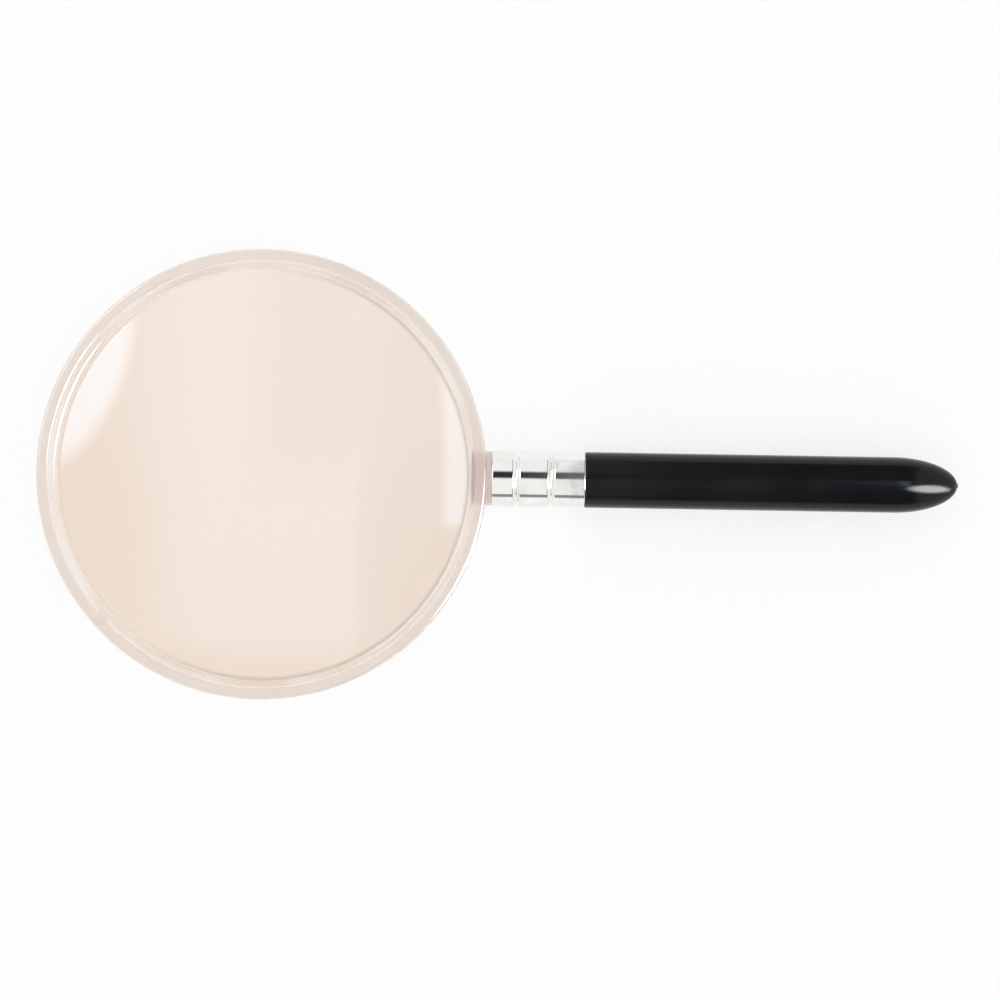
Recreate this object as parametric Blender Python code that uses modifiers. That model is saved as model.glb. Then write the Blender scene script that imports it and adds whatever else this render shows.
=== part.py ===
"""Round hand magnifier: clear lens and rim, chrome ferrule, black handle.

It lies flat, with the lens axis along +Z and the handle along +X. The origin is
the middle of its footprint on the table. Every size below is in metres.
"""

import math

import bmesh
import bpy

MM = 0.001

# Clear rim. The wall stands round the lens, and the band is what the ledge behind
# the lens and the retaining ring in front of it cover of the opening.
RIM_DIAMETER = 76.2 * MM
RIM_DEPTH = 9.5 * MM
RIM_WALL = 2.0 * MM
RIM_BAND = 1.1 * MM
RIM_ROUND = 0.6 * MM
BAND_ROUND = 0.3 * MM
RING_HEIGHT = 1.1 * MM

# Lens: two equal spherical faces, and a flat flange that the rim clamps. The crown of
# each face stays this far inside the rim, so that it never touches a table.
LENS_FLANGE_THICKNESS = 4.2 * MM
LENS_RECESS = 0.25 * MM

# Gate tab of the retaining ring, which sits in a notch in the wall.
TAB_RADIUS = 1.1 * MM
TAB_DEPTH = 0.6 * MM
TAB_SUNK = 0.2 * MM
TAB_ANGLE = math.radians(223.0)

# Neck, collar and tang: one stem behind the rim, which steps down twice.
NECK_LENGTH = 0.8 * MM
NECK_STEP = 0.1 * MM
TANG_LENGTH = 24.0 * MM
TANG_CHAMFER = 0.8 * MM

# Ferrule, flush with the handle. Groove places are measured from its front end.
FERRULE_LENGTH = 15.9 * MM
FERRULE_WALL = 0.4 * MM
FERRULE_ROUND = 0.25 * MM
GROOVE_PLACES = (4.2 * MM, 10.1 * MM)
GROOVE_WIDTH = 1.3 * MM
GROOVE_DEPTH = 0.45 * MM

# Handle: a hollow moulding. Its length is what shows behind the ferrule. The spigot's
# wall is what the bore leaves under the groove.
HANDLE_DIAMETER = 9.5 * MM
HANDLE_LENGTH = 63.8 * MM
SPIGOT_WALL = 0.7 * MM
HANDLE_ROUND = 0.2 * MM
NOSE_LENGTH = 11.0 * MM
NOSE_SOLID = 7.0 * MM

# Room between pieces that fit together.
FIT_GAP = 0.3 * MM

RIM_STEPS = 72
STEM_STEPS = 40
SHARP_ANGLE = math.radians(35.0)
WELD_DISTANCE = 0.001 * MM

# Radii of what fits together, all from the sizes above.
RIM_RADIUS = RIM_DIAMETER / 2
WALL_INNER_RADIUS = RIM_RADIUS - RIM_WALL
OPENING_RADIUS = WALL_INNER_RADIUS - RIM_BAND
LENS_RADIUS = WALL_INNER_RADIUS - FIT_GAP
LENS_FACE_EDGE = OPENING_RADIUS - FIT_GAP
LENS_CROWN = (RIM_DEPTH - LENS_FLANGE_THICKNESS) / 2 - LENS_RECESS
LENS_FACE_RADIUS = (LENS_FACE_EDGE**2 + LENS_CROWN**2) / (2 * LENS_CROWN)
HANDLE_RADIUS = HANDLE_DIAMETER / 2
NECK_RADIUS = min(RIM_DEPTH, HANDLE_DIAMETER) / 2 - NECK_STEP
FERRULE_BORE_RADIUS = HANDLE_RADIUS - FERRULE_WALL
SPIGOT_RADIUS = FERRULE_BORE_RADIUS - FIT_GAP
BORE_RADIUS = SPIGOT_RADIUS - GROOVE_DEPTH - SPIGOT_WALL
TANG_RADIUS = BORE_RADIUS - FIT_GAP
BEAD_ROOM = GROOVE_WIDTH + 2 * (FERRULE_WALL + FIT_GAP)

# Places along the handle line, from the ferrule's front end.
RIM_EDGE = -NECK_LENGTH
INSIDE_WALL = RIM_EDGE - RIM_WALL / 2
MEETING = sum(GROOVE_PLACES) / 2
TANG_END = MEETING + TANG_LENGTH
NOSE_TIP = FERRULE_LENGTH + HANDLE_LENGTH
BORE_END = NOSE_TIP - NOSE_SOLID

# The ring lies on the lens flange. Its gate tab stands on its outer side, a little lower.
TAB_PLACE = OPENING_RADIUS + BAND_ROUND + TAB_RADIUS
RING_BOTTOM = LENS_FLANGE_THICKNESS / 2 + FIT_GAP
RING_TOP = RING_BOTTOM + RING_HEIGHT
TAB_TOP = RING_TOP - TAB_SUNK

# Places in the world.
TOTAL_LENGTH = RIM_DIAMETER + NECK_LENGTH + NOSE_TIP
RIM_CENTRE_X = RIM_RADIUS - TOTAL_LENGTH / 2
FERRULE_FRONT_X = RIM_CENTRE_X + RIM_RADIUS + NECK_LENGTH
LINE_HEIGHT = max(RIM_DEPTH, HANDLE_DIAMETER) / 2


def clear_scene():
    for obj in list(bpy.data.objects):
        bpy.data.objects.remove(obj)


def new_collection(name):
    collection = bpy.data.collections.new(name)
    bpy.context.scene.collection.children.link(collection)
    return collection


def finish(name, colour, roughness, metallic=0.0, clear=0.0):
    """A material in the piece's colour. clear is how much light passes through it."""
    material = bpy.data.materials.new(name)
    material.use_nodes = True
    shader = material.node_tree.nodes["Principled BSDF"]
    shader.inputs["Base Color"].default_value = (*colour, 1.0)
    shader.inputs["Roughness"].default_value = roughness
    shader.inputs["Metallic"].default_value = metallic
    shader.inputs["Transmission Weight"].default_value = clear
    shader.inputs["IOR"].default_value = 1.49
    material.diffuse_color = (*colour, 1.0 - 0.6 * clear)
    return material


def empty(name, place, turn=(0.0, 0.0, 0.0)):
    """A guide that pieces are placed by."""
    guide = bpy.data.objects.new(name, None)
    guide.location = place
    guide.rotation_euler = turn
    guide.empty_display_size = 5.0 * MM
    bpy.context.scene.collection.objects.link(guide)
    return guide


def arc(centre, radius, start, stop, steps):
    """Points (distance from the axis, place along it) on an arc, in degrees."""
    points = []
    for i in range(steps + 1):
        angle = math.radians(start + (stop - start) * i / steps)
        points.append(
            (
                centre[0] + radius * math.cos(angle),
                centre[1] + radius * math.sin(angle),
            )
        )
    return points


def settle(obj):
    """Makes an object's modifiers part of its mesh and shades it smooth up to its corners."""
    bpy.context.view_layer.update()
    graph = bpy.context.evaluated_depsgraph_get()
    mesh = bpy.data.meshes.new_from_object(obj.evaluated_get(graph))
    mesh.shade_smooth()
    mesh.set_sharp_from_angle(angle=SHARP_ANGLE)
    obj.modifiers.clear()
    obj.data = mesh


def turned(name, outline, steps, collection, parent, material, closed=False):
    """A turned piece. Its outline runs down the outer side, and a closed one makes a ring."""
    bm = bmesh.new()
    corners = [bm.verts.new((radius, 0.0, place)) for radius, place in outline]
    for first, second in zip(corners, corners[1:]):
        bm.edges.new((first, second))
    if closed:
        bm.edges.new((corners[-1], corners[0]))
    mesh = bpy.data.meshes.new(name)
    bm.to_mesh(mesh)
    bm.free()
    obj = bpy.data.objects.new(name, mesh)
    collection.objects.link(obj)
    mesh.materials.append(material)
    screw = obj.modifiers.new("Turn", "SCREW")
    screw.steps = steps
    screw.render_steps = steps
    screw.use_merge_vertices = True
    screw.merge_threshold = WELD_DISTANCE
    settle(obj)
    obj.parent = parent
    return obj


def as_cutter(obj):
    obj.hide_render = True
    obj.display_type = "WIRE"


def boolean(obj, other, operation):
    modifier = obj.modifiers.new(other.name, "BOOLEAN")
    modifier.operation = operation
    modifier.solver = "EXACT"
    modifier.object = other


def grooved(radius, start, stop, places, width, steps=6):
    """Outline of a rod from start down to stop, with a rolled groove at each place."""
    points = [(radius, start)]
    for place in sorted(places, reverse=True):
        for i in range(steps + 1):
            along = width * (0.5 - i / steps)
            dip = GROOVE_DEPTH * (1 + math.cos(2 * math.pi * along / width)) / 2
            points.append((radius - dip, place + along))
    points.append((radius, stop))
    return points


def lens(collection, centre, material):
    """Biconvex lens with its flange, turned about its own axis."""
    half = LENS_FLANGE_THICKNESS / 2
    spread = math.degrees(math.asin(LENS_FACE_EDGE / LENS_FACE_RADIUS))
    sunk = LENS_FACE_RADIUS * math.cos(math.radians(spread)) - half
    front = arc((0.0, -sunk), LENS_FACE_RADIUS, 90.0, 90.0 - spread, 8)
    front[0] = (0.0, front[0][1])
    flange = [(LENS_RADIUS, half), (LENS_RADIUS, -half)]
    back = [(radius, -place) for radius, place in reversed(front)]
    return turned("lens", front + flange + back, RIM_STEPS, collection, centre, material)


def rim_frame(collection, cutters, centre, line, material):
    """Wall and ledge in one, with the stem joined on and the notch for the gate tab cut out."""
    half = RIM_DEPTH / 2
    ledge = -LENS_FLANGE_THICKNESS / 2 - FIT_GAP
    middle = RIM_RADIUS - RIM_ROUND
    outline = arc((middle, half - RIM_ROUND), RIM_ROUND, 90.0, 0.0, 4)
    outline += arc((middle, RIM_ROUND - half), RIM_ROUND, 0.0, -90.0, 4)
    corner = (OPENING_RADIUS + BAND_ROUND, BAND_ROUND - half)
    outline += arc(corner, BAND_ROUND, -90.0, -180.0, 3)
    outline += [(OPENING_RADIUS, ledge), (WALL_INNER_RADIUS, ledge)]
    corner = (WALL_INNER_RADIUS + BAND_ROUND, half - BAND_ROUND)
    outline += arc(corner, BAND_ROUND, 180.0, 90.0, 3)
    frame = turned(
        "rim_frame", outline, RIM_STEPS, collection, centre, material, closed=True
    )
    boolean(frame, stem(cutters, line, material), "UNION")
    above = half + RIM_ROUND
    notch = tab_cylinder("tab_notch", FIT_GAP, above, cutters, centre)
    boolean(frame, notch, "DIFFERENCE")
    return frame


def stem(cutters, line, material):
    """Neck, collar and tang, turned about the handle line. Its root stands inside the wall."""
    outline = [
        (0.0, TANG_END),
        (TANG_RADIUS - TANG_CHAMFER, TANG_END),
        (TANG_RADIUS, TANG_END - TANG_CHAMFER),
        (TANG_RADIUS, MEETING - FIT_GAP / 2),
    ]
    outline += grooved(
        SPIGOT_RADIUS, MEETING - FIT_GAP / 2, -FIT_GAP, GROOVE_PLACES[:1], BEAD_ROOM
    )
    outline += [(NECK_RADIUS, -FIT_GAP), (NECK_RADIUS, INSIDE_WALL), (0.0, INSIDE_WALL)]
    piece = turned("stem", outline, STEM_STEPS, cutters, line, material)
    as_cutter(piece)
    return piece


def tab_cylinder(name, room, top, cutters, centre):
    """An upright cylinder at the gate tab's place, up to top, with room round it and under it."""
    depth = top - (TAB_TOP - TAB_DEPTH - room)
    bm = bmesh.new()
    bmesh.ops.create_cone(
        bm,
        cap_ends=True,
        segments=24,
        radius1=TAB_RADIUS + room,
        radius2=TAB_RADIUS + room,
        depth=depth,
    )
    mesh = bpy.data.meshes.new(name)
    bm.to_mesh(mesh)
    bm.free()
    obj = bpy.data.objects.new(name, mesh)
    cutters.objects.link(obj)
    obj.parent = centre
    across = TAB_PLACE * math.cos(TAB_ANGLE)
    along = TAB_PLACE * math.sin(TAB_ANGLE)
    obj.location = (across, along, top - depth / 2)
    as_cutter(obj)
    return obj


def retaining_ring(collection, cutters, centre, material):
    """Ring on the front of the lens flange, below the wall's top, with its gate tab."""
    outer = WALL_INNER_RADIUS - FIT_GAP
    corner = RING_TOP - BAND_ROUND
    outline = [(outer, RING_TOP), (outer, RING_BOTTOM), (OPENING_RADIUS, RING_BOTTOM)]
    outline += arc((OPENING_RADIUS + BAND_ROUND, corner), BAND_ROUND, 180.0, 90.0, 3)
    ring = turned(
        "retaining_ring", outline, RIM_STEPS, collection, centre, material, closed=True
    )
    boolean(ring, tab_cylinder("gate_tab", 0.0, TAB_TOP, cutters, centre), "UNION")
    return ring


def ferrule(collection, line, material):
    """Thin tube with softly rounded ends. Its grooves are rolled in, so the bore has a bead at each."""
    inset = HANDLE_RADIUS - FERRULE_ROUND
    rear = FERRULE_LENGTH - FERRULE_ROUND
    outside = grooved(HANDLE_RADIUS, rear, FERRULE_ROUND, GROOVE_PLACES, GROOVE_WIDTH)
    outline = arc((inset, rear), FERRULE_ROUND, 90.0, 0.0, 2) + outside[1:-1]
    outline += arc((inset, FERRULE_ROUND), FERRULE_ROUND, 0.0, -90.0, 2)
    beads = GROOVE_WIDTH + FERRULE_WALL
    bore = grooved(FERRULE_BORE_RADIUS, FERRULE_LENGTH, 0.0, GROOVE_PLACES, beads)
    outline += reversed(bore)
    return turned(
        "ferrule", outline, STEM_STEPS, collection, line, material, closed=True
    )


def handle(collection, line, material):
    """Barrel with a bullet nose and a stepped spigot, bored from the ferrule's side."""
    nose_root = NOSE_TIP - NOSE_LENGTH
    shoulder = FERRULE_LENGTH + FIT_GAP
    outline = []
    for radius, along in arc((0.0, 0.0), 1.0, 90.0, 0.0, 10):
        outline.append((HANDLE_RADIUS * radius, nose_root + NOSE_LENGTH * along))
    outline[0] = (0.0, NOSE_TIP)
    outline += [
        (HANDLE_RADIUS, shoulder + HANDLE_ROUND),
        (HANDLE_RADIUS - HANDLE_ROUND, shoulder),
    ]
    spigot_end = MEETING + FIT_GAP / 2
    spigot = grooved(SPIGOT_RADIUS, shoulder, spigot_end, GROOVE_PLACES[1:], BEAD_ROOM)
    outline += spigot + [(BORE_RADIUS, spigot_end)]
    outline += arc((0.0, BORE_END - BORE_RADIUS), BORE_RADIUS, 0.0, 90.0, 4)[:-1]
    outline.append((0.0, BORE_END))
    return turned("handle", outline, STEM_STEPS, collection, line, material)


clear_scene()
parts = new_collection("magnifying_glass")
shapes = new_collection("magnifying_glass_cutters")
rim_centre = empty("rim_centre", (RIM_CENTRE_X, 0.0, LINE_HEIGHT))
handle_line = empty(
    "handle_line", (FERRULE_FRONT_X, 0.0, LINE_HEIGHT), (0.0, math.pi / 2, 0.0)
)

clear_lens = finish("clear_acrylic", (0.93, 0.90, 0.86), 0.02, clear=0.9)
clear_rim = finish("clear_styrene", (0.88, 0.80, 0.75), 0.08, clear=0.8)
chrome = finish("chrome_plate", (0.84, 0.83, 0.81), 0.06, metallic=1.0)
black = finish("black_styrene", (0.018, 0.017, 0.018), 0.16)

lens(parts, rim_centre, clear_lens)
rim_frame(parts, shapes, rim_centre, handle_line, clear_rim)
retaining_ring(parts, shapes, rim_centre, clear_rim)
ferrule(parts, handle_line, chrome)
handle(parts, handle_line, black)
bpy.context.view_layer.update()
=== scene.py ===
"""Looks of a round hand magnifier: clear lens and rim, chrome ferrule, black handle.

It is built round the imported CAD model, in metres, with +Z up and the handle along +X.
"""

import math

import bmesh
import bpy
from mathutils import Matrix, Vector


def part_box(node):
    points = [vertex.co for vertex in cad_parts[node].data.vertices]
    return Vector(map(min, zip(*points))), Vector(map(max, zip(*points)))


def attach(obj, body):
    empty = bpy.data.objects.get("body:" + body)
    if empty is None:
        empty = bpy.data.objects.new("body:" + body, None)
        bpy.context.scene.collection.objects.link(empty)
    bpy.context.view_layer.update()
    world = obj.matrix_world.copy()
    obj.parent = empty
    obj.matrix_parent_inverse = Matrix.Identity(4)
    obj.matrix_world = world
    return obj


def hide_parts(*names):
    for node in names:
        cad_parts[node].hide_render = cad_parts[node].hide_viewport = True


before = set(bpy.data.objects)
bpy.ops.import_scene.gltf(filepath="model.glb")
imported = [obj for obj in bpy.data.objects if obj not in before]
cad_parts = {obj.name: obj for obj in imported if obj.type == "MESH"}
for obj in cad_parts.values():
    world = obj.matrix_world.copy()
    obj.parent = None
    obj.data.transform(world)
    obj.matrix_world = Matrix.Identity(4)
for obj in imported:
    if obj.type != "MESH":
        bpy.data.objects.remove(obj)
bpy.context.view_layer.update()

# --------------------------------------------------------------------------------
# Lens. A biconvex disc of clear acrylic, moulded and polished, with a flat flange round
# its edge that the rim clamps. It is faintly warm, and wiped so often that the faces
# carry hairlines.

MM = 0.001
SEAM = 0.04 * MM  # what is left between pieces that are pressed together
WELD = 0.0005 * MM
FLANGE_THICKNESS = 4.2 * MM
FLANGE_WIDTH = 0.85 * MM
FLANGE_ROUND = 0.1 * MM
FACE_POINTS = 28
ROUND_STEPS = 240

lens_low, lens_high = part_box("lens")
rim_centre = (lens_low + lens_high) / 2
LENS_RADIUS = (lens_high.x - lens_low.x) / 2
FACE_EDGE = LENS_RADIUS - FLANGE_WIDTH
UP = Vector((0.0, 0.0, 1.0))
ALONG = Vector((1.0, 0.0, 0.0))


def rounded(corners, closed=False, steps=6):
    """An outline through corners (distance from the axis, place along it, rounding radius).

    Two points stand next to each arc, so that the flats beside it are shaded flat.
    """
    places = [Vector(corner[:2]) for corner in corners]
    outline = []
    for i, (here, corner) in enumerate(zip(places, corners)):
        radius = corner[2] if len(corner) > 2 else 0.0
        if radius == 0.0 or (not closed and i in (0, len(corners) - 1)):
            outline.append(here)
            continue
        back = (places[i - 1] - here).normalized()
        onward = (places[(i + 1) % len(places)] - here).normalized()
        half_angle = back.angle(onward) / 2
        reach = radius / math.tan(half_angle)
        middle = here + (back + onward).normalized() * radius / math.sin(half_angle)
        start = here + back * reach - middle
        # mathutils counts a signed angle clockwise.
        sweep = -start.angle_signed(here + onward * reach - middle)
        outline.append(here + back * (reach + radius / 4))
        for step in range(steps + 1):
            outline.append(middle + Matrix.Rotation(sweep * step / steps, 2) @ start)
        outline.append(here + onward * (reach + radius / 4))
    return outline


def turned(outline, centre, axis, out, closed=False, steps=ROUND_STEPS):
    """A bmesh of the outline turned once round the axis through centre."""
    bm = bmesh.new()
    line = [bm.verts.new(centre + out * point[0] + axis * point[1]) for point in outline]
    for first, second in zip(line, line[1:] + line[:1] if closed else line[1:]):
        bm.edges.new((first, second))
    bmesh.ops.spin(
        bm,
        geom=bm.verts[:] + bm.edges[:],
        cent=centre,
        axis=axis,
        angle=2 * math.pi,
        steps=steps,
        use_merge=True,
    )
    bmesh.ops.remove_doubles(bm, verts=bm.verts[:], dist=WELD)
    bmesh.ops.recalc_face_normals(bm, faces=bm.faces[:])
    return bm


def piece(name, bm, crease=35.0):
    """An object of the bmesh, shaded smooth up to its creases (in degrees)."""
    mesh = bpy.data.meshes.new(name)
    bm.to_mesh(mesh)
    bm.free()
    mesh.shade_smooth()
    mesh.set_sharp_from_angle(angle=math.radians(crease))
    obj = bpy.data.objects.new(name, mesh)
    bpy.context.scene.collection.objects.link(obj)
    return obj


def face_arc(edge, rise, points):
    """Points on a spherical face from its crown out to its edge, as (radius, height over the edge)."""
    ball = (edge**2 + rise**2) / (2 * rise)
    widest = math.asin(edge / ball)
    arc = []
    for i in range(points + 1):
        angle = widest * i / points
        arc.append((ball * math.sin(angle), ball * math.cos(angle) - ball + rise))
    return arc


flange_half = FLANGE_THICKNESS / 2
crown = (lens_high.z - lens_low.z) / 2 - flange_half
front_face = [(r, flange_half + h) for r, h in face_arc(FACE_EDGE, crown, FACE_POINTS)]
front_face += [(LENS_RADIUS, flange_half, FLANGE_ROUND)]
back_face = [(corner[0], -corner[1], *corner[2:]) for corner in reversed(front_face)]
lens = piece(
    "magnifying_lens",
    turned(rounded(front_face + back_face), rim_centre, UP, ALONG),
    crease=5.0,
)


class Wire:
    """A socket of a node tree. Sums and products of wires and numbers add Math nodes."""

    def __init__(self, tree, socket=None):
        self.tree = tree
        self.socket = socket

    def node(self, kind, settings=None, sockets=None, output=0):
        """Adds a node with its settings, and its sockets set to numbers or joined to wires."""
        made = self.tree.nodes.new("ShaderNode" + kind)
        for name, value in (settings or {}).items():
            setattr(made, name, value)
        for name, value in (sockets or {}).items():
            if isinstance(value, Wire):
                self.tree.links.new(value.socket, made.inputs[name])
            else:
                made.inputs[name].default_value = value
        return Wire(self.tree, made.outputs[output])

    def math(self, operation, first, second=0.0):
        return self.node("Math", {"operation": operation}, {0: first, 1: second})

    def __add__(self, other):
        return self.math("ADD", self, other)

    def __sub__(self, other):
        return self.math("SUBTRACT", self, other)

    def __rsub__(self, other):
        return self.math("SUBTRACT", other, self)

    def __mul__(self, other):
        return self.math("MULTIPLY", self, other)

    def __truediv__(self, other):
        return self.math("DIVIDE", self, other)

    def __abs__(self):
        return self.math("ABSOLUTE", self)

    __radd__ = __add__
    __rmul__ = __mul__

    def step(self, low, high):
        """0 up to low, 1 from high on, and a smooth rise between them."""
        sockets = {"Value": self, "From Min": low, "From Max": high}
        return self.node("MapRange", {"interpolation_type": "SMOOTHSTEP"}, sockets)

    def between(self, low, high, soft):
        """1 from low to high, with edges this soft."""
        return self.step(low - soft, low + soft) * (1.0 - self.step(high - soft, high + soft))

    def blend(self, first, second):
        """A colour between two, by this wire as the share of the second."""
        sockets = {0: self, 6: first, 7: second}
        return self.node("Mix", {"data_type": "RGBA"}, sockets, output=2)


def new_finish(name):
    """A material with an empty tree: its start wire and its output node."""
    material = bpy.data.materials.new(name)
    material.use_nodes = True
    material.node_tree.nodes.clear()
    output = material.node_tree.nodes.new("ShaderNodeOutputMaterial")
    return material, Wire(material.node_tree), output


def places(wire, centre=(0.0, 0.0, 0.0), scale=(1.0, 1.0, 1.0)):
    """Object coordinates counted from centre and stretched by scale."""
    here = wire.node("TexCoord", output="Object")
    shift = wire.node("VectorMath", {"operation": "SUBTRACT"}, {0: here, 1: centre})
    return wire.node("VectorMath", {"operation": "MULTIPLY"}, {0: shift, 1: scale})


def axes(wire, vector):
    """The three numbers of a vector."""
    split = wire.node("SeparateXYZ", sockets={0: vector})
    outputs = split.socket.node.outputs
    return [Wire(wire.tree, outputs[i]) for i in range(3)]


def trapped(wire):
    """1 for light that has been mirrored twice or more, as happens inside a thick lens."""
    return wire.math("GREATER_THAN", wire.node("LightPath", output="Glossy Depth"), 1.5)


def let_light_by(wire, glass, shade):
    """Clear pieces let soft light fall on what lies under them, in the colour shade.

    Light that is trapped between their faces comes out, before it dies away.
    """
    clear = wire.node("BsdfTransparent", sockets={"Color": (*shade, 1.0)})
    inside = wire.node("MixShader", sockets={0: trapped(wire), 1: glass, 2: clear})
    for kind, shader in (("Is Glossy Ray", inside), ("Is Diffuse Ray", clear), ("Is Shadow Ray", clear)):
        ray = wire.node("LightPath", output=kind)
        glass = wire.node("MixShader", sockets={0: ray, 1: glass, 2: shader})
    return glass


finish, wire, output = new_finish("clear_acrylic")
here = places(wire, rim_centre)
across, along, _ = axes(wire, here)
cloud = wire.node("TexNoise", sockets={"Vector": here, "Scale": 34.0, "Detail": 2.0})
middle = 2.5 * MM
drift = (cloud - 0.5) * 8.0 * MM
side_shade = abs(across - middle + drift).step(0.25 * LENS_RADIUS, 0.95 * LENS_RADIUS)
# Painted shade makes the tint denser at the sides and towards the near edge, and painted light makes it
# paler at the right edge.
near_edge_shade = (0.0 - along / LENS_RADIUS).step(0.72, 1.0)
right_edge_light = (across / LENS_RADIUS).step(0.55, 0.9)
painted_shade_share = side_shade * 0.7 - along / LENS_RADIUS * 0.22 + near_edge_shade * 0.5 - right_edge_light * 0.3 + 0.2
tint_and_shade = painted_shade_share.step(0.0, 1.0).blend((0.935, 0.835, 0.755, 1.0), (0.875, 0.745, 0.640, 1.0))
radius = wire.math("SQRT", across * across + along * along)
# A painted shadow of the ring lies as a soft grey arc beside it at the right.
shadow = radius.step(FACE_EDGE - 0.8 * MM, FACE_EDGE)
shadow = shadow * ((across - along * 0.3) / LENS_RADIUS).step(-0.4, 0.3)
tint_and_shade = (shadow * 0.85).blend(tint_and_shade, (0.62, 0.53, 0.45, 1.0))
beyond = radius.step(FACE_EDGE + 0.1 * MM, FACE_EDGE + 0.2 * MM)
tint_and_shade = beyond.blend(tint_and_shade, (0.985, 0.970, 0.955, 1.0))
streaks = places(wire, rim_centre, (1.0, 9.0, 1.0))
hairline = wire.node("TexNoise", sockets={"Vector": streaks, "Scale": 420.0, "Detail": 4.0})
smear = wire.node("TexNoise", sockets={"Vector": here, "Scale": 60.0, "Detail": 3.0})
bump = wire.node("Bump", sockets={"Height": hairline, "Distance": 0.0006 * MM, "Strength": 1.0})
glass = wire.node(
    "BsdfPrincipled",
    sockets={
        "Base Color": tint_and_shade,
        "Roughness": smear.step(0.5, 0.75) * 0.03 + 0.008,
        "Transmission Weight": 1.0,
        "IOR": 1.49,
        "Normal": bump,
    },
)
wire.tree.links.new(let_light_by(wire, glass, (0.99, 0.985, 0.98)).socket, output.inputs[0])
lens.data.materials.append(finish)
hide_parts("lens")
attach(lens, "root")

# --------------------------------------------------------------------------------
# Rim frame. One clear styrene moulding: the wall round the lens, the ledge behind it,
# and the stem, which steps down from the neck to a collar inside the ferrule and to a
# tang inside the handle.

WALL = 2.0 * MM
BAND = 1.1 * MM  # what the ledge and the retaining ring cover of the opening
WALL_ROUND = 0.6 * MM
FOOT_ROUND = 0.15 * MM
BAND_ROUND = 0.3 * MM
EDGE_ROUND = 0.08 * MM
NECK_LENGTH = 0.8 * MM
NECK_STEP = 0.1 * MM
COLLAR_STEP = 0.6 * MM
GROOVE_PLACES = (4.2 * MM, 10.1 * MM)
GROOVE_WIDTH = 1.3 * MM
GROOVE_DEPTH = 0.45 * MM
FERRULE_WALL = 0.4 * MM
TANG_RADIUS = 2.6 * MM
TANG_CHAMFER = 0.8 * MM
TAB_ANGLE = math.radians(223.0)
TAB_RADIUS = 1.1 * MM
TAB_OFFSET = 0.5 * MM
TAB_DEPTH = 0.6 * MM
TAB_SUNK = 0.2 * MM
STEM_STEPS = 160
GROOVE_EASE = 0.06 * MM

rim_low, rim_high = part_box("rim_frame")
ferrule_low, ferrule_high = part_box("ferrule")
RIM_RADIUS = rim_centre.x - rim_low.x
RIM_HALF = (rim_high.z - rim_low.z) / 2
RING_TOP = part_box("retaining_ring")[1].z - rim_centre.z
POCKET_RADIUS = RIM_RADIUS - WALL
OPENING_RADIUS = POCKET_RADIUS - BAND
LINE_RADIUS = (ferrule_high.z - ferrule_low.z) / 2
line_start = Vector((ferrule_low.x, 0.0, rim_centre.z))
tang_end = rim_high.x - line_start.x
meeting = sum(GROOVE_PLACES) / 2
bore_radius = LINE_RADIUS - FERRULE_WALL


def grooved(radius, start, stop, groove_places, width, steps=14):
    """Outline of a rod from start back to stop, with a rolled groove at each place."""
    outline = [(radius, start)]
    for place in sorted(groove_places, reverse=True):
        outline.append((radius, place + width / 2 + GROOVE_EASE))
        for i in range(steps + 1):
            offset = width * (0.5 - i / steps)
            dip = GROOVE_DEPTH * (1 + math.cos(2 * math.pi * offset / width)) / 2
            outline.append((radius - dip, place + offset))
        outline.append((radius, place - width / 2 - GROOVE_EASE))
    outline.append((radius, stop))
    return outline


def joined(name, bm, other, operation):
    """The piece made of one bmesh with another one added to it or cut out of it."""
    base = piece(name, bm)
    tool = piece(name + "_tool", other)
    modifier = base.modifiers.new(operation, "BOOLEAN")
    modifier.operation = operation
    modifier.solver = "EXACT"
    modifier.object = tool
    bpy.context.view_layer.update()
    graph = bpy.context.evaluated_depsgraph_get()
    result = bmesh.new()
    result.from_object(base, graph)
    for obj in (base, tool):
        bpy.data.objects.remove(obj)
    bmesh.ops.remove_doubles(result, verts=result.verts[:], dist=WELD)
    bmesh.ops.recalc_face_normals(result, faces=result.faces[:])
    return result


def tab_rod(radius, top, bottom):
    """An upright rod at the gate tab's place."""
    bm = bmesh.new()
    bmesh.ops.create_cone(
        bm, cap_ends=True, segments=48, radius1=radius, radius2=radius, depth=top - bottom
    )
    distance = OPENING_RADIUS + TAB_OFFSET + TAB_RADIUS
    place = Matrix.Rotation(TAB_ANGLE, 3, "Z") @ Vector((distance, 0.0, 0.0))
    place += rim_centre + UP * (top + bottom) / 2
    bmesh.ops.translate(bm, verts=bm.verts[:], vec=place)
    return bm


ledge = -flange_half - SEAM
wall_outline = rounded(
    [
        (RIM_RADIUS, RIM_HALF, WALL_ROUND),
        (RIM_RADIUS, -RIM_HALF, FOOT_ROUND),
        (OPENING_RADIUS, -RIM_HALF, BAND_ROUND),
        (OPENING_RADIUS, ledge, EDGE_ROUND),
        (POCKET_RADIUS, ledge),
        (POCKET_RADIUS, RIM_HALF, BAND_ROUND),
    ],
    closed=True,
)
wall = turned(wall_outline, rim_centre, UP, ALONG, closed=True)

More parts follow.
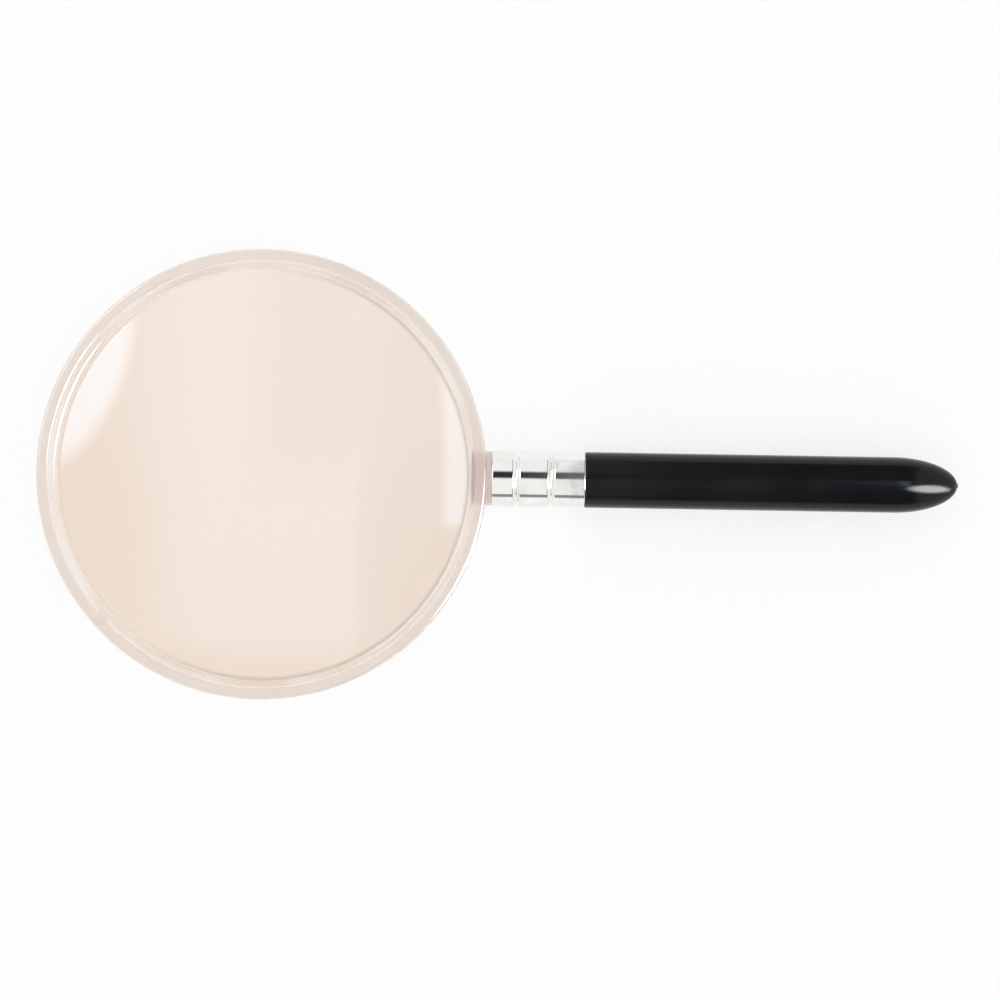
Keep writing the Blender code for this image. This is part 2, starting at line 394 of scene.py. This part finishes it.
neck_radius = LINE_RADIUS - NECK_STEP
collar_radius = bore_radius - SEAM
inner_groove = GROOVE_WIDTH + FERRULE_WALL
collar = grooved(collar_radius, meeting - SEAM, -SEAM, GROOVE_PLACES[:1], inner_groove)
stem_outline = [
    (0.0, tang_end),
    (TANG_RADIUS - TANG_CHAMFER, tang_end),
    (TANG_RADIUS, tang_end - TANG_CHAMFER),
    (TANG_RADIUS, meeting - SEAM),
    *collar,
    (neck_radius, -SEAM, EDGE_ROUND),
    (neck_radius, -NECK_LENGTH - WALL / 2),
    (0.0, -NECK_LENGTH - WALL / 2),
]
stem = turned(rounded(stem_outline), line_start, ALONG, UP, steps=STEM_STEPS)
tab_top = RING_TOP - TAB_SUNK
notch = tab_rod(TAB_RADIUS + SEAM, RIM_HALF + WALL_ROUND, tab_top - TAB_DEPTH - SEAM)
frame_body = joined("frame_blank", wall, stem, "UNION")
rim = piece("rim_moulding", joined("frame_notched", frame_body, notch, "DIFFERENCE"))


def styrene(name, clear, dense, ring_weight):
    """Clear styrene between two tints, with flow marks; where the neck's root lies in the wall, a
    painted brownish tint and a dark line of painted shade stand for what shows through the wall there.

    A painted shade lies along the lower right of the opening, as strong as the last argument says.
    """
    finish, wire, output = new_finish(name)
    here = places(wire, rim_centre)
    across, along, _ = axes(wire, here)
    cloud = wire.node("TexNoise", sockets={"Vector": here, "Scale": 90.0, "Detail": 3.0})
    # The tint is denser towards the near side; the last argument shifts this towards both top and
    # bottom.
    low = 0.5 - along / RIM_RADIUS * 0.5
    share = low + (abs(along) / RIM_RADIUS - low) * ring_weight
    tint_and_shade = (cloud.step(0.3, 0.7) * 0.5 + share * 0.5).blend((*clear, 1.0), (*dense, 1.0))
    radius = wire.math("SQRT", across * across + along * along)
    inside = 1.0 - radius.step(POCKET_RADIUS, POCKET_RADIUS + 0.1 * MM)
    tint_and_shade = (inside * (1.0 - ring_weight)).blend(tint_and_shade, (0.975, 0.945, 0.920, 1.0))
    # Painted shade: a grey band along the opening's edge, strongest at the lower right.
    painted_edge_shade = radius.between(OPENING_RADIUS - 0.1 * MM, OPENING_RADIUS + 0.2 * MM, 0.3 * MM)
    painted_edge_shade = painted_edge_shade * ((across * 0.7 - along * 0.7) / RIM_RADIUS).step(-0.4, 0.6)
    tint_and_shade = (painted_edge_shade * ring_weight).blend(tint_and_shade, (0.80, 0.75, 0.71, 1.0))
    # Painted in by the stem: a brownish tint for the ferrule's inside seen through the wall, and a dark
    # line of painted shade near the wall's inner face.
    beside = 1.0 - abs(along).step(LINE_RADIUS - 0.9 * MM, LINE_RADIUS + 0.2 * MM)
    inner = POCKET_RADIUS - 0.6 * MM
    root = beside * across.between(inner, RIM_RADIUS + NECK_LENGTH, 0.15 * MM)
    tint_and_shade = (root * 0.85).blend(tint_and_shade, (0.72, 0.60, 0.55, 1.0))
    line = beside * across.between(inner, inner + 0.35 * MM, 0.12 * MM)
    tint_and_shade = (line * 0.35).blend(tint_and_shade, (0.42, 0.36, 0.36, 1.0))
    flow = wire.node("TexNoise", sockets={"Vector": here, "Scale": 260.0, "Detail": 2.0})
    bump = wire.node("Bump", sockets={"Height": flow, "Distance": 0.004 * MM, "Strength": 1.0})
    glass = wire.node(
        "BsdfPrincipled",
        sockets={
            "Base Color": tint_and_shade,
            "Roughness": cloud.step(0.35, 0.8) * 0.06 + 0.08,
            "Transmission Weight": 0.62,
            "IOR": 1.55,
            "Normal": bump,
        },
    )
    wire.tree.links.new(let_light_by(wire, glass, (0.985, 0.975, 0.97)).socket, output.inputs[0])
    return finish


rim_finish = styrene("clear_styrene", (0.88, 0.785, 0.715), (0.82, 0.72, 0.65), ring_weight=0.0)
rim.data.materials.append(rim_finish)
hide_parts("rim_frame")
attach(rim, "root")

# --------------------------------------------------------------------------------
# Retaining ring. A clear styrene ring pressed into the front of the wall, which holds
# the lens down. The stub of its gate sits in a notch in the wall.

RING_FOOT_ROUND = 0.05 * MM
RING_MOUTH_ROUND = 0.5 * MM

ring_foot = flange_half + SEAM
ring_outline = rounded(
    [
        (POCKET_RADIUS - SEAM, RING_TOP, EDGE_ROUND),
        (POCKET_RADIUS - SEAM, ring_foot, RING_FOOT_ROUND),
        (OPENING_RADIUS, ring_foot, RING_FOOT_ROUND),
        (OPENING_RADIUS, RING_TOP, RING_MOUTH_ROUND),
    ],
    closed=True,
)
ring_body = turned(ring_outline, rim_centre, UP, ALONG, closed=True)
tab = tab_rod(TAB_RADIUS, tab_top, tab_top - TAB_DEPTH)
ring = piece("lens_retainer", joined("ring_blank", ring_body, tab, "UNION"))
ring_finish = styrene("clear_styrene_ring", (0.985, 0.965, 0.945), (0.84, 0.69, 0.57), ring_weight=0.85)
ring.data.materials.append(ring_finish)
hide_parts("retaining_ring")
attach(ring, "root")

# --------------------------------------------------------------------------------
# Ferrule. A drawn brass tube, bright plated, pushed over the collar and the handle's
# spigot. Two grooves rolled into it grip them, and leave the tube a little uneven.

FERRULE_ROUND = 0.2 * MM
MOUTH_ROUND = 0.1 * MM
ROD_STEPS = 192

ferrule_length = ferrule_high.x - ferrule_low.x
outside = grooved(LINE_RADIUS, ferrule_length, 0.0, GROOVE_PLACES, GROOVE_WIDTH)
bore = grooved(bore_radius, ferrule_length, 0.0, GROOVE_PLACES, inner_groove)
ferrule_corners = [(*outside[0], FERRULE_ROUND), *outside[1:-1], (*outside[-1], FERRULE_ROUND)]
ferrule_corners += [(*bore[-1], MOUTH_ROUND), *reversed(bore[1:-1]), (*bore[0], MOUTH_ROUND)]
ferrule_outline = rounded(ferrule_corners, closed=True)
ferrule = piece(
    "plated_ferrule",
    turned(ferrule_outline, line_start, ALONG, UP, closed=True, steps=ROD_STEPS),
    crease=60.0,
)

finish, wire, output = new_finish("bright_plating")
here = places(wire, line_start)
drawn = places(wire, line_start, (0.35, 1.0, 1.0))
swell = wire.node("TexNoise", sockets={"Vector": drawn, "Scale": 230.0, "Detail": 1.0})
dents = wire.node("Bump", sockets={"Height": swell, "Distance": 0.03 * MM, "Strength": 1.0})
rings = places(wire, line_start, (40.0, 1.0, 1.0))
polish = wire.node("TexNoise", sockets={"Vector": rings, "Scale": 500.0, "Detail": 5.0})
bump = wire.node(
    "Bump", sockets={"Height": polish, "Distance": 0.0012 * MM, "Strength": 1.0, "Normal": dents}
)
haze = wire.node("TexNoise", sockets={"Vector": here, "Scale": 330.0, "Detail": 4.0})
plating = wire.node(
    "BsdfPrincipled",
    sockets={
        "Base Color": haze.step(0.35, 0.7).blend((0.93, 0.92, 0.90, 1.0), (0.87, 0.85, 0.83, 1.0)),
        "Metallic": 1.0,
        "Roughness": haze.step(0.45, 0.75) * 0.09 + 0.05,
        "Normal": bump,
    },
)
wire.tree.links.new(plating.socket, output.inputs[0])
ferrule.data.materials.append(finish)
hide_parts("ferrule")
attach(ferrule, "root")

# --------------------------------------------------------------------------------
# Handle. A hollow moulding in glossy black styrene with a bullet nose and a stepped
# spigot inside the ferrule. The mould's halves leave a fine line along both sides, and
# the gate leaves a nub at the tip.

NOSE_LENGTH = 11.0 * MM
NOSE_SOLID = 7.0 * MM
BORE_RADIUS = 2.9 * MM
SHOULDER_ROUND = 0.15 * MM
NUB_RADIUS = 0.4 * MM
NUB_HEIGHT = 0.06 * MM
FLASH_HEIGHT = 0.015 * MM
NOSE_STEPS = 36
BORE_STEPS = 8

handle_low, handle_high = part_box("handle")
nose_tip = handle_high.x - line_start.x
nose_root = nose_tip - NOSE_LENGTH
nose_reach = NOSE_LENGTH - NUB_HEIGHT
nub_angle = math.asin(NUB_RADIUS / LINE_RADIUS)
nose = []
for i in range(NOSE_STEPS + 1):
    angle = nub_angle + (math.pi / 2 - nub_angle) * i / NOSE_STEPS
    nose.append((LINE_RADIUS * math.sin(angle), nose_root + nose_reach * math.cos(angle)))
shoulder = ferrule_length + SEAM
spigot_end = meeting + SEAM
spigot = grooved(collar_radius, shoulder, spigot_end, GROOVE_PLACES[1:], inner_groove)
handle_corners = [
    (0.0, nose_tip),
    (NUB_RADIUS, nose_tip, NUB_HEIGHT / 2),
    *nose,
    (LINE_RADIUS, nose_root - 1.0 * MM),
    (LINE_RADIUS, shoulder, SHOULDER_ROUND),
    *spigot,
    (BORE_RADIUS, spigot_end),
]
bore_end = nose_tip - NOSE_SOLID
for i in range(BORE_STEPS + 1):
    angle = math.pi / 2 * i / BORE_STEPS
    depth = bore_end - BORE_RADIUS * (1 - math.sin(angle))
    handle_corners.append((BORE_RADIUS * math.cos(angle), depth))
handle_bm = turned(rounded(handle_corners), line_start, ALONG, UP, steps=ROD_STEPS)
for vert in handle_bm.verts:
    beside = vert.co - line_start
    on_parting_line = abs(beside.z) < 0.001 * MM and beside.x > shoulder
    if on_parting_line and abs(beside.y) > BORE_RADIUS + 0.5 * MM:
        vert.co.y += math.copysign(FLASH_HEIGHT, beside.y)
handle = piece("black_handle", handle_bm)

finish, wire, output = new_finish("black_styrene")
here = places(wire, line_start)
peel = wire.node("TexNoise", sockets={"Vector": here, "Scale": 900.0, "Detail": 2.0})
skin = wire.node("Bump", sockets={"Height": peel, "Distance": 0.0012 * MM, "Strength": 1.0})
rubs = places(wire, line_start, (1.0, 14.0, 14.0))
scuffs = wire.node("TexNoise", sockets={"Vector": rubs, "Scale": 160.0, "Detail": 6.0, "Roughness": 0.7})
bump = wire.node(
    "Bump",
    sockets={"Height": scuffs.step(0.55, 0.8), "Distance": 0.001 * MM, "Strength": 1.0, "Normal": skin},
)
grease = wire.node("TexNoise", sockets={"Vector": here, "Scale": 75.0, "Detail": 3.0})
black = grease.step(0.3, 0.8).blend((0.0075, 0.0080, 0.0092, 1.0), (0.0115, 0.0110, 0.0112, 1.0))
plastic = wire.node(
    "BsdfPrincipled",
    sockets={
        "Base Color": black,
        "Roughness": grease.step(0.35, 0.75) * 0.07 + scuffs.step(0.5, 0.8) * 0.06 + 0.13,
        "IOR": 1.5,
        "Specular IOR Level": 0.16,
        "Normal": bump,
    },
)
wire.tree.links.new(plastic.socket, output.inputs[0])
handle.data.materials.append(finish)
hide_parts("handle")
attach(handle, "root")

# --------------------------------------------------------------------------------
# Table. A plain white acrylic sheet, lit from below and wide enough to reach the horizon.

TABLE_RADIUS = 9.0
TABLE_DROP = 0.05 * MM

table_bm = bmesh.new()
bmesh.ops.create_circle(table_bm, cap_ends=True, segments=96, radius=TABLE_RADIUS)
bmesh.ops.translate(table_bm, verts=table_bm.verts[:], vec=(0.0, 0.0, rim_low.z - TABLE_DROP))
table = piece("table_top", table_bm)
finish, wire, output = new_finish("lit_acrylic")
speck = wire.node("TexNoise", sockets={"Vector": places(wire), "Scale": 900.0, "Detail": 2.0})
sheet = wire.node(
    "BsdfPrincipled",
    sockets={
        "Base Color": speck.blend((0.24, 0.24, 0.24, 1.0), (0.26, 0.26, 0.26, 1.0)),
        "Roughness": 0.7,
        "Specular IOR Level": 0.1,
        "Emission Color": (1.0, 1.0, 1.0, 1.0),
        "Emission Strength": 0.73,
    },
)
wire.tree.links.new(sheet.socket, output.inputs[0])
table.data.materials.append(finish)

# --------------------------------------------------------------------------------
# Studio. What shiny faces mirror: white walls, a round window at the upper left, a lamp
# and a tall lit card at the right, a dark curtain between them, a dark strip overhead and
# a dark skirting at the near side. All other light meets plain white walls.

WHITE = (1.0, 1.0, 1.0, 1.0)
WALL_LIGHT = 0.95
ROOM_LIGHT = 0.98
WINDOW_LIGHT = 6.8
WINDOW_COLOUR = (0.50, 0.76, 1.0, 1.0)
LAMP_LIGHT = 34.0
CARD_LIGHT = 5.0
CARD_COLOUR = (0.52, 0.74, 1.0, 1.0)

world = bpy.data.worlds.new("studio")
bpy.context.scene.world = world
world.use_nodes = True
world.node_tree.nodes.clear()
wire = Wire(world.node_tree)
east, north, up = axes(wire, wire.node("TexCoord", output="Generated"))


def oval(centre, size, soft):
    """1 inside an oval patch of sky, seen from below, with soft edges."""
    off_x = (east - centre[0]) / size[0]
    off_y = (north - centre[1]) / size[1]
    reach = wire.math("SQRT", off_x * off_x + off_y * off_y)
    return 1.0 - reach.step(1.0 - soft, 1.0 + soft)


above = up.step(0.0, 0.04)
window = oval((-0.54, 0.31), (0.195, 0.30), 0.09) * above
lamp = oval((0.64, -0.25), (0.29, 0.24), 0.3) * above
bowed = east + north * north * 0.3
card = bowed.between(0.215, 0.36, 0.015) * north.between(-0.075, 0.26, 0.012) * above
strip = east.between(-0.12, 0.07, 0.06) * north.between(0.02, 0.49, 0.09) * above
curtain = east.between(0.057, 0.42, 0.017) * above
skirting = (0.0 - north).step(0.85, 0.9) * up.between(0.13, 0.37, 0.02)
unlit = 1.0 - 0.97 * wire.math("MAXIMUM", strip, curtain)
walls = WALL_LIGHT * unlit * (1.0 - 0.72 * skirting)
mirrored = walls + window * WINDOW_LIGHT + lamp * LAMP_LIGHT + card * CARD_LIGHT
cool = card.blend(window.blend(WHITE, WINDOW_COLOUR), CARD_COLOUR)

through = wire.node("LightPath", output="Is Transmission Ray")
mirror = wire.node("LightPath", output="Is Glossy Ray") * (1.0 - through) * (1.0 - trapped(wire))
plain = ROOM_LIGHT - 0.5 * through * (1.0 - up.step(0.08, 0.45))
strength = mirrored * mirror + plain * (1.0 - mirror)
colour = mirror.blend(WHITE, cool)
background = wire.node("Background", sockets={"Color": colour, "Strength": strength})
world_output = world.node_tree.nodes.new("ShaderNodeOutputWorld")
world.node_tree.links.new(background.socket, world_output.inputs[0])
bpy.context.scene.view_settings.view_transform = "Standard"

# --------------------------------------------------------------------------------
# Camera. It looks straight down on the magnifier, with the handle to the right.

VIEW_HEIGHT = 350.0 * MM
VIEW_WIDTH = 171.1 * MM
VIEW_TURN = math.radians(0.95)
VIEW_OFFSET = Vector((0.13 * MM, -3.69 * MM, 0.0))

camera_data = bpy.data.cameras.new("camera")
camera_data.sensor_width = 36.0
camera_data.lens = camera_data.sensor_width * VIEW_HEIGHT / VIEW_WIDTH
camera = bpy.data.objects.new("camera", camera_data)
camera.location = VIEW_OFFSET + UP * (rim_centre.z + VIEW_HEIGHT)
camera.rotation_euler = (0.0, 0.0, VIEW_TURN)
bpy.context.scene.collection.objects.link(camera)
bpy.context.scene.camera = camera
